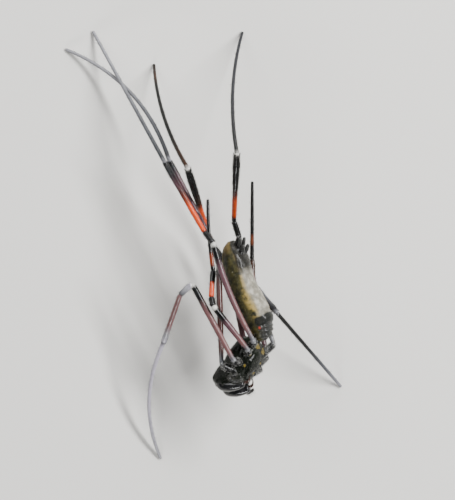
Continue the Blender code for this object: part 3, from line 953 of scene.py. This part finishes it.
def mixColour(factor, first, second, blend="MIX"):
    node = treeOf(factor, first, second).nodes.new("ShaderNodeMix")
    node.data_type = "RGBA"
    node.blend_type = blend
    colours = [socket for socket in node.inputs if socket.type == "RGBA"]
    for socket, value in zip((node.inputs[0], *colours), (factor, first, second)):
        feed(socket, value)
    return [socket for socket in node.outputs if socket.type == "RGBA"][0]


def attributeValue(tree, name):
    node = tree.nodes.new("ShaderNodeAttribute")
    node.attribute_name = name
    return node.outputs["Fac"]


def pattern(tree, kind, **inputs):
    # a texture in the piece's own Object coordinates
    place = tree.nodes.new("ShaderNodeTexCoord").outputs["Object"]
    return addNode(tree, kind, Vector=place, **inputs).outputs


def noiseValue(tree, scale, detail=3.0, roughness=0.55):
    return pattern(tree, "ShaderNodeTexNoise", Scale=scale, Detail=detail, Roughness=roughness)["Fac"]


def startGroup(name, inputs, outputs):
    # a node group with number inputs, and outputs of a kind each
    tree = bpy.data.node_groups.new(name, "ShaderNodeTree")
    for label, value in inputs.items():
        socket = tree.interface.new_socket(name=label, in_out="INPUT", socket_type="NodeSocketFloat")
        socket.default_value = value
    for label, kind in outputs.items():
        tree.interface.new_socket(name=label, in_out="OUTPUT", socket_type="NodeSocket" + kind)
    return tree, tree.nodes.new("NodeGroupInput").outputs, tree.nodes.new("NodeGroupOutput").inputs


def useGroup(tree, group, **inputs):
    node = tree.nodes.new("ShaderNodeGroup")
    node.node_tree = group
    setInputs(node, **inputs)
    return node.outputs


def makeGrainGroup():
    # pores and fine wrinkles of cuticle: a height and a mask of worn, paler spots
    tree, given, result = startGroup(
        "cuticleGrain", {"Pore Size": 2600.0, "Wrinkle Size": 900.0}, {"Height": "Float", "Wear": "Float"}
    )
    pores = pattern(tree, "ShaderNodeTexVoronoi", Scale=given["Pore Size"])["Distance"]
    wrinkles = noiseValue(tree, given["Wrinkle Size"], 4.0, 0.6)
    feed(result["Height"], mathNode("ADD", product(softStep(pores, 0.0, 0.5), 0.4), wrinkles))
    feed(result["Wear"], softStep(noiseValue(tree, 420.0, 5.0, 0.65), 0.48, 0.72))
    return tree


abdomenPaint = {
    "belly": (0.16, 0.15, 0.118),
    "bellyLight": (0.36, 0.34, 0.285),
    "olive": (0.055, 0.049, 0.018),
    "oliveDark": (0.014, 0.015, 0.008),
    "yellow": (0.26, 0.19, 0.06),
    "tan": (0.15, 0.105, 0.038),
    "dark": (0.007, 0.007, 0.0065),
    "pale": (0.42, 0.39, 0.27),
    "plate": (0.013, 0.014, 0.013),
    "ribbed": (0.022, 0.023, 0.022),
    "red": (0.32, 0.03, 0.018),
}


def makeAbdomenGroup():
    # the abdomen's markings, from the place along it in millimetres and the angle from its belly
    tree, _, result = startGroup("abdomenMarkings", {}, {"Colour": "Color", "Shine": "Float"})
    paint = abdomenPaint
    along = attributeValue(tree, "along")
    fromBelly = mathNode("ARCCOSINE", product(attributeValue(tree, "rise"), -1.0))
    mottle = noiseValue(tree, 700.0, 5.0, 0.6)
    broad = noiseValue(tree, 210.0, 3.0, 0.5)
    angle = mathNode("ADD", fromBelly, mathNode("MULTIPLY_ADD", broad, 0.5, -0.25))
    wavy = mathNode("ADD", along, mathNode("MULTIPLY_ADD", broad, 2.0, -1.0))
    flank = mixColour(softStep(mottle, 0.35, 0.65), paint["oliveDark"], paint["olive"])
    dots = softStep(pattern(tree, "ShaderNodeTexVoronoi", Scale=620.0)["Distance"], 0.16, 0.09)
    flank = mixColour(product(dots, softStep(broad, 0.45, 0.6), 0.8), flank, paint["pale"])
    belly = mixColour(softStep(mottle, 0.38, 0.66), paint["belly"], paint["bellyLight"])
    belly = mixColour(product(softStep(along, 15.2, 18.2), 0.55), belly, paint["belly"])
    colour = mixColour(softStep(angle, 0.62, 0.98), belly, flank)
    line = product(bellMask(angle, 0.78, 0.24), softStep(mottle, 0.36, 0.58), softStep(along, 1.0, 3.0))
    blotch = product(
        bellMask(angle, 0.92, 0.42),
        softStep(along, 10.0, 12.5),
        softStep(along, 18.6, 17.2),
        softStep(noiseValue(tree, 520.0, 4.0), 0.42, 0.6),
    )
    colour = mixColour(mathNode("MAXIMUM", product(line, 0.75), blotch), colour, paint["yellow"])
    stripe = product(bellMask(angle, 2.45, 0.34), softStep(along, 1.0, 3.0), softStep(along, 21.5, 20.0))
    band = product(bellMask(along, 20.9, 1.2), softStep(angle, 1.5, 1.9))
    colour = mixColour(mathNode("MAXIMUM", stripe, band), colour, paint["yellow"])
    tail = product(softStep(along, 3.6, 0.6), softStep(angle, 0.7, 1.3), 0.85)
    colour = mixColour(tail, colour, paint["tan"])
    around = product(softStep(wavy, 8.6, 6.0), softStep(fromBelly, 1.12, 0.84))
    colour = mixColour(product(around, 0.94), colour, paint["dark"])
    ribbed = product(softStep(wavy, 19.1, 19.6), softStep(angle, 1.25, 0.85))
    colour = mixColour(product(ribbed, 0.97), colour, paint["ribbed"])
    plate = softStep(product(bellMask(wavy, 18.7, 1.5), softStep(angle, 1.25, 0.85)), 0.1, 0.5)
    colour = mixColour(product(plate, 0.98), colour, paint["plate"])
    spot = product(bellMask(along, 20.4, 0.45), bellMask(fromBelly, 0.98, 0.13))
    feed(result["Colour"], mixColour(spot, colour, paint["red"]))
    feed(result["Shine"], mathNode("MAXIMUM", mathNode("MAXIMUM", plate, ribbed), around))
    return tree


def makeLegGroup(name):
    # a leg's bands of colour from its stops, with edges that waver a little
    tree, _, result = startGroup("bands_" + name, {}, {"Colour": "Color"})
    along = mathNode("DIVIDE", attributeValue(tree, "along"), limbEnd)
    wobble = mathNode("MULTIPLY_ADD", noiseValue(tree, 900.0), 0.006, -0.003)
    ramp = addNode(tree, "ShaderNodeValToRGB", Fac=mathNode("ADD", along, wobble))
    stops = legStops[name]
    elements = ramp.color_ramp.elements
    while len(elements) < len(stops):
        elements.new(0.5)
    for element, (place, word) in zip(elements, stops):
        element.position = place / limbEnd
        element.color = (*legPaint[word], 1.0)
    feed(result["Colour"], ramp.outputs["Color"])
    return tree


def newMaterial(name):
    material = bpy.data.materials.new(name)
    material.use_nodes = True
    tree = material.node_tree
    return material, tree, tree.nodes["Principled BSDF"]


def addRelief(shader, height, distance, strength):
    bump = addNode(shader.id_data, "ShaderNodeBump", Distance=distance * mm, Strength=strength, Height=height)
    feed(shader.inputs["Normal"], bump.outputs["Normal"])


def legMaterial(name):
    # the leg's bands with pores, worn spots and a waxy shine
    material, tree, shader = newMaterial("cuticle_" + name)
    bands = useGroup(tree, legGroups[name])["Colour"]
    worn = useGroup(tree, grainGroup, Pore_Size=2400.0, Wrinkle_Size=1500.0)
    lighter = mixColour(worn["Wear"], bands, (1.7, 1.7, 1.8), "MULTIPLY")
    streak = noiseValue(tree, 1400.0, 4.0, 0.6)
    setInputs(
        shader,
        Base_Color=mixColour(softStep(streak, 0.5, 0.75), bands, lighter),
        Roughness=mathNode("MULTIPLY_ADD", streak, 0.16, 0.16),
        Specular_IOR_Level=0.3,
        Coat_Weight=0.12,
        Coat_Roughness=0.12,
    )
    addRelief(shader, worn["Height"], 0.03, 0.6)
    return material


def legHairMaterial(name):
    material, tree, shader = newMaterial("down_" + name)
    colour = mixColour(0.05, useGroup(tree, legGroups[name])["Colour"], (0.42, 0.41, 0.40))
    setInputs(shader, Base_Color=colour, Roughness=0.35)
    return material


headPaint = {
    "shell": (0.0035, 0.0045, 0.0032),
    "shellPale": (0.008, 0.010, 0.007),
    "sternumSpot": (0.20, 0.145, 0.03),
    # spots on the underside: place along the head, place aside, half length, half width
    "spots": ((1.3, 0.3, 1.1, 0.4), (6.6, 0.42, 0.6, 0.16), (3.9, 0.45, 0.5, 0.12)),
}


def headMaterial():
    material, tree, shader = newMaterial("carapace")
    worn = useGroup(tree, grainGroup, Pore_Size=1900.0, Wrinkle_Size=700.0)
    broad = noiseValue(tree, 330.0, 4.0)
    colour = mixColour(softStep(broad, 0.4, 0.7), headPaint["shell"], headPaint["shellPale"])
    along = attributeValue(tree, "along")
    rise = attributeValue(tree, "rise")
    level = mathNode("SUBTRACT", 1.0, product(rise, rise))
    across = mathNode("SQRT", mathNode("MAXIMUM", level, 0.0))
    below = softStep(rise, -0.1, -0.4)
    ragged = mathNode("MULTIPLY_ADD", noiseValue(tree, 1300.0, 4.0), 2.0, -0.3)
    for place, side, long, wide in headPaint["spots"]:
        spot = product(bellMask(along, place, long), bellMask(across, side, wide), below, ragged)
        colour = mixColour(product(softStep(spot, 0.2, 0.4), 0.6), colour, headPaint["sternumSpot"])
    roughness = mathNode("MULTIPLY_ADD", broad, 0.14, 0.12)
    setInputs(shader, Base_Color=colour, Roughness=roughness, Specular_IOR_Level=0.12)
    addRelief(shader, worn["Height"], 0.03, 0.2)
    return material


def abdomenMaterial():
    material, tree, shader = newMaterial("abdomenCuticle")
    marks = useGroup(tree, abdomenGroup)
    worn = useGroup(tree, grainGroup, Pore_Size=1500.0, Wrinkle_Size=620.0)
    rough = mathNode("MULTIPLY_ADD", worn["Wear"], 0.12, 0.42)
    setInputs(
        shader,
        Base_Color=marks["Colour"],
        Roughness=mathNode("SUBTRACT", rough, product(marks["Shine"], 0.2)),
        Subsurface_Weight=0.06,
        Subsurface_Radius=(0.4 * mm, 0.3 * mm, 0.15 * mm),
        Subsurface_Scale=1.0,
        Specular_IOR_Level=0.14,
    )
    addRelief(shader, worn["Height"], 0.07, mathNode("MULTIPLY_ADD", marks["Shine"], -0.62, 0.8))
    return material


def abdomenHairMaterial():
    material, tree, shader = newMaterial("abdomenHair")
    colour = mixColour(0.04, useGroup(tree, abdomenGroup)["Colour"], (0.5, 0.47, 0.38))
    setInputs(shader, Base_Color=colour, Roughness=0.45)
    return material


# colour, least roughness and depth of the pores of each dark, shiny piece
darkLooks = {
    "limbCuticle": ((0.012, 0.012, 0.011), 0.3, 0.04),
    "chelicera": ((0.007, 0.007, 0.0075), 0.16, 0.05),
    "fang": ((0.02, 0.006, 0.003), 0.12, 0.01),
    "spinneret": ((0.016, 0.016, 0.015), 0.25, 0.05),
    "claw": ((0.012, 0.008, 0.006), 0.2, 0.01),
}


def darkMaterial(name):
    colour, roughness, depth = darkLooks[name]
    material, tree, shader = newMaterial(name)
    worn = useGroup(tree, grainGroup, Pore_Size=2100.0, Wrinkle_Size=1100.0)
    pale = tuple(min(value * 3.0 + 0.01, 1.0) for value in colour)
    setInputs(
        shader,
        Base_Color=mixColour(product(worn["Wear"], 0.5), colour, pale),
        Roughness=mathNode("MULTIPLY_ADD", worn["Wear"], 0.15, roughness),
        Specular_IOR_Level=0.3,
        Coat_Weight=0.25,
        Coat_Roughness=0.06,
    )
    addRelief(shader, worn["Height"], depth, 0.7)
    return material


# darker and paler colour and roughness of each kind of hair
hairLooks = {
    "silverHair": ((0.10, 0.10, 0.11), (0.42, 0.42, 0.45), 0.35),
    "coxaHair": ((0.006, 0.006, 0.006), (0.5, 0.5, 0.47), 0.35),
    "blackHair": ((0.004, 0.004, 0.004), (0.02, 0.019, 0.018), 0.35),
    "headHair": ((0.006, 0.007, 0.005), (0.04, 0.042, 0.034), 0.4),
    "fringeHair": ((0.012, 0.012, 0.010), (0.13, 0.13, 0.11), 0.4),
}


def hairMaterial(name):
    dark, pale, roughness = hairLooks[name]
    material, tree, shader = newMaterial(name)
    tint = mixColour(softStep(noiseValue(tree, 1300.0, 3.0), 0.35, 0.65), dark, pale)
    setInputs(shader, Base_Color=tint, Roughness=roughness, Specular_IOR_Level=0.25)
    return material


def eyeMaterial():
    material, tree, shader = newMaterial("eyeLens")
    facing = addNode(tree, "ShaderNodeLayerWeight", Blend=0.35).outputs["Facing"]
    colour = mixColour(facing, (0.004, 0.003, 0.002), (0.045, 0.022, 0.008))
    setInputs(shader, Base_Color=colour, Roughness=0.06, Coat_Weight=1.0, Coat_Roughness=0.02)
    return material


grainGroup = makeGrainGroup()
abdomenGroup = makeAbdomenGroup()
legNames = list(legPoses)
legGroups = {name: makeLegGroup(name) for name in legNames}
print("materials: groups ready")

# the frame says where the abdomen is, and everything else is placed beside it
abdomenPlace = bodyFrame(abdomenBody)
outline = {"rings": 100, "sides": 72}
section = []
for i in range(outline["rings"]):
    row = smoothRow(abdomenBody["rows"], i / (outline["rings"] - 1))
    for step in range(outline["sides"]):
        section.append(abdomenPlace @ sectionPoint(abdomenBody, row, math.tau * step / outline["sides"]))
modelShift = Vector((0.0, 0.0, 0.0))
lowCorner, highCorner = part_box("abdomen")
for axis in (0, 1):
    values = [point[axis] for point in section]
    modelShift[axis] = (lowCorner[axis] + highCorner[axis]) / (2 * mm) - (min(values) + max(values)) / 2
print("model shift", [round(value, 3) for value in modelShift])

# patches of the unwrap: eight legs in strips, then the two body halves, then small limbs
patches = {name: (0.01, 0.01 + 0.07 * i, 0.97, 0.062) for i, name in enumerate(legNames)}
patches["head"] = (0.01, 0.58, 0.36, 0.4)
patches["abdomen"] = (0.39, 0.58, 0.5, 0.4)
for name, low in (("palp_left", 0.58), ("palp_right", 0.68), ("pedicel", 0.78)):
    patches[name] = (0.9, low, 0.09, 0.08)

# the eyes' boxes in the frame, and their middles in the head's own axes
eyeNodes = [
    f"eye_{word}_{hand}"
    for word in ("front_middle", "rear_middle", "front_side", "rear_side")
    for hand in ("left", "right")
]
eyeBoxes = [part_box(node) for node in eyeNodes]
eyeMiddles = [(low + high) / (2 * mm) for low, high in eyeBoxes]
eyeSpots = [Vector(spot) for spot in inHead(*(middle - modelShift for middle in eyeMiddles))]

# the skin's material numbers: head, abdomen, eight legs, then the palps and pedicel
firstLeg = 2
palpNumber = firstLeg + len(legNames)
skinShapes = [
    bodyShell(headBody, headDetail, 0, patches["head"]),
    bodyShell(abdomenBody, abdomenDetail, 1, patches["abdomen"]),
]
skinShapes += [legShell(name, firstLeg + i, patches[name]) for i, name in enumerate(legNames)]
for side, word in ((1, "left"), (-1, "right")):
    run = mirrored(palp["points"], side)
    skinShapes.append(limbShell(palp, run, palp["radii"], palpNumber, patches["palp_" + word]))
skinShapes.append(pedicelShell(palpNumber, patches["pedicel"]))
skinMaterials = [headMaterial(), abdomenMaterial(), *map(legMaterial, legNames), darkMaterial("limbCuticle")]
skin = joined("skin", skinShapes, skinMaterials, modelShift)
fleshNodes = ["cephalothorax", "abdomen", "pedicel", "palp_left", "palp_right"]
legParts = ("coxa", "femur", "patella", "tibia", "foot")
fleshNodes += [f"leg_{name}_{kind}" for name in legNames for kind in legParts]
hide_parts(*fleshNodes)
print("skin", len(skin.data.polygons), "faces")

jawShapes = [limbShell(jaw, mirrored(jaw["points"], side), jaw["radii"]) for side in (1, -1)]
jaws = joined("chelicerae", jawShapes, [darkMaterial("chelicera")], modelShift)
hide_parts("chelicera_left", "chelicera_right")
fangShapes = [limbShell(fang, mirrored(fang["points"], side), fang["radii"]) for side in (1, -1)]
fangs = joined("fangs", fangShapes, [darkMaterial("fang")], modelShift)
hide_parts("fang_left", "fang_right")
print("mouth parts ready")

spinnerets = joined("spinneretCluster", spinneretShapes(), [darkMaterial("spinneret")], modelShift)
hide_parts("spinnerets")

eyeShapes = []
for (low, high), middle in zip(eyeBoxes, eyeMiddles):
    eye = bmesh.new()
    centre = Matrix.Translation(middle)
    size = (high - low).length / (2 * mm * math.sqrt(3)) * 1.04
    bmesh.ops.create_uvsphere(eye, u_segments=32, v_segments=20, radius=size, matrix=centre)
    eyeShapes.append(eye)
eyes = joined("eyes", eyeShapes, [eyeMaterial()], Vector((0.0, 0.0, 0.0)))
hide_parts(*eyeNodes)
print("eyes ready")

claws = joined("claws", clawShapes(), [darkMaterial("claw")], modelShift)

# The coat. Each part of it says how many hairs a square millimetre carries and how they lie.
skinData = skinArrays(skin)


def legNumbers(*names):
    return [firstLeg + legNames.index(name) for name in names]


brushyLegs = legNumbers(*(name for name in legNames if not name.endswith("3")))
paleLegs = legNumbers("left_2")
hairyLegs = legNumbers("right_1", "right_4")
smoothLegs = legNumbers("left_1", "left_2", "left_4")
longCoxaHairLegs = legNumbers("right_4")


def within(value, low, high):
    return (value > low) & (value < high)


def onLegs(number):
    return (number >= firstLeg) & (number < palpNumber)


def legDown(number, along, rise):
    return (onLegs(number) & within(along, 1.02, 4.98)) * np.where(along > 4.0, 14.0, 11.0)


def legBrush(number, along, rise):
    start = np.where(np.isin(number, hairyLegs), 3.42, 3.7)
    onBrush = np.isin(number, brushyLegs) & (along > start - 0.08) & (along < 3.97)
    thick = np.clip((along - start) / 0.14, 0.12, 1.0) * np.where(np.isin(number, smoothLegs), 0.35, 1.0)
    return onBrush * 56.0 * thick


def legBristles(number, along, rise):
    femur = within(along, 1.1, 1.95) * 1.6
    patella = within(along, 2.05, 2.95) * 5.0
    tibia = within(along, 3.05, 3.98) * 2.6
    foot = within(along, 4.02, 4.95) * 2.2
    return onLegs(number) * (femur + patella + tibia + foot)


def coxaHair(number, along, rise):
    return (onLegs(number) & (along < np.where(np.isin(number, longCoxaHairLegs), 1.12, 1.02))) * 22.0


def headDown(number, along, rise):
    return (number == 0) * np.where(rise > -0.1, 15.0, 4.0)


def headFringe(number, along, rise):
    return ((number == 0) & (rise < -0.25)) * 4.5 + (number == palpNumber) * 16.0


def abdomenDown(number, along, rise):
    return (number == 1) * 15.0


def fixedLength(value):
    return lambda along, number: value


def brushLength(along, number):
    return np.where(np.isin(number, hairyLegs), 0.85, 0.45) * np.clip((along - 3.2) / 0.5, 0.5, 1.0)


coats = {
    "legDown": {
        "where": legDown, "length": fixedLength(0.26), "width": 0.026,
        "lift": 20, "liftSpread": 7, "swing": 16,
    },
    "legBrush": {
        "where": legBrush, "length": brushLength, "width": 0.045,
        "lift": 28, "liftSpread": 8, "swing": 12,
    },
    "legBristles": {
        "where": legBristles, "length": fixedLength(0.85), "width": 0.05,
        "lift": 40, "liftSpread": 10, "swing": 18,
    },
    "coxaHair": {
        "where": coxaHair, "length": fixedLength(0.5), "width": 0.04,
        "lift": 38, "liftSpread": 12, "swing": 24,
    },
    "headDown": {
        "where": headDown, "length": fixedLength(0.42), "width": 0.035,
        "lift": 26, "liftSpread": 8, "swing": 30,
        "lie": -1.0,
    },
    "headFringe": {
        "where": headFringe, "length": fixedLength(0.95), "width": 0.035,
        "lift": 52, "liftSpread": 14, "swing": 35,
    },
    "abdomenDown": {
        "where": abdomenDown, "length": fixedLength(0.36), "width": 0.026,
        "lift": 20, "liftSpread": 7, "swing": 16,
        "lie": -1.0,
    },
}
skinNumbers = range(len(skinMaterials))
hairs = {name: hairMaterial(name) for name in hairLooks}
coatMaterials = {
    "legDown": {firstLeg + i: legHairMaterial(name) for i, name in enumerate(legNames)},
    "legBrush": {i: hairs["silverHair" if i in paleLegs else "blackHair"] for i in skinNumbers},
    "legBristles": dict.fromkeys(skinNumbers, hairs["blackHair"]),
    "coxaHair": dict.fromkeys(skinNumbers, hairs["coxaHair"]),
    "headDown": dict.fromkeys(skinNumbers, hairs["headHair"]),
    "headFringe": dict.fromkeys(skinNumbers, hairs["fringeHair"]),
    "abdomenDown": dict.fromkeys(skinNumbers, abdomenHairMaterial()),
}
for name, coat in coats.items():
    piece = plantCoat(name, skinData, coat, coatMaterials[name])
print("coat ready")

# the photograph's camera: 81 degrees above the floor, leaning towards -X
viewing = {
    "position": (-159.178, 11.111, 1005.254),
    "lean": 9.0,
    "lens": 216.0,
    "sensor": 24.0,
}
camera = bpy.data.cameras.new("camera")
camera.lens = viewing["lens"]
camera.sensor_fit = "VERTICAL"
camera.sensor_height = viewing["sensor"]
camera.clip_start = 0.05
camera.clip_end = 10.0
cameraObject = addObject("camera", camera)
lean = math.radians(viewing["lean"])
leanCos, leanSin = math.cos(lean), math.sin(lean)
axes = Matrix(((leanCos, 0.0, -leanSin), (0.0, 1.0, 0.0), (leanSin, 0.0, leanCos)))
cameraPlace = (Vector(viewing["position"]) + modelShift) * mm
cameraObject.matrix_world = Matrix.Translation(cameraPlace) @ axes.to_4x4()
bpy.context.scene.camera = cameraObject

floorShape = bmesh.new()
bmesh.ops.create_grid(floorShape, x_segments=1, y_segments=1, size=1.5)
floorMesh = bpy.data.meshes.new("floor")
floorShape.to_mesh(floorMesh)
floorShape.free()
floor = addObject("floor", floorMesh)
floor.location.z = -0.0001
floorMaterial, _, floorShader = newMaterial("floorPaint")
setInputs(floorShader, Base_Color=(0.62, 0.61, 0.58), Roughness=0.8)
floorMesh.materials.append(floorMaterial)

lamps = {
    "key": {"place": (0.42, 0.22, 0.62), "size": (0.75, 0.12), "power": 15.0},
    "window": {"place": (-0.45, 0.3, 0.5), "size": (0.4, 0.4), "power": 3.0},
    "strip": {"place": (-0.12, -0.6, 0.24), "size": (0.3, 0.05), "power": 2.5},
    "back": {"place": (0.1, 0.65, 0.3), "size": (0.5, 0.2), "power": 2.5},
}
for name, lamp in lamps.items():
    light = bpy.data.lights.new(name, "AREA")
    light.shape = "RECTANGLE"
    light.size, light.size_y = lamp["size"]
    light.energy = lamp["power"]
    place = Vector(lamp["place"])
    facing = (-place).to_track_quat("-Z", "Y").to_matrix().to_4x4()
    addObject(name, light).matrix_world = Matrix.Translation(place) @ facing
world = bpy.data.worlds.new("studio")
world.use_nodes = True
setInputs(world.node_tree.nodes["Background"], Color=(0.9, 0.93, 1.0), Strength=0.12)
bpy.context.scene.world = world
print("camera, floor and light ready")
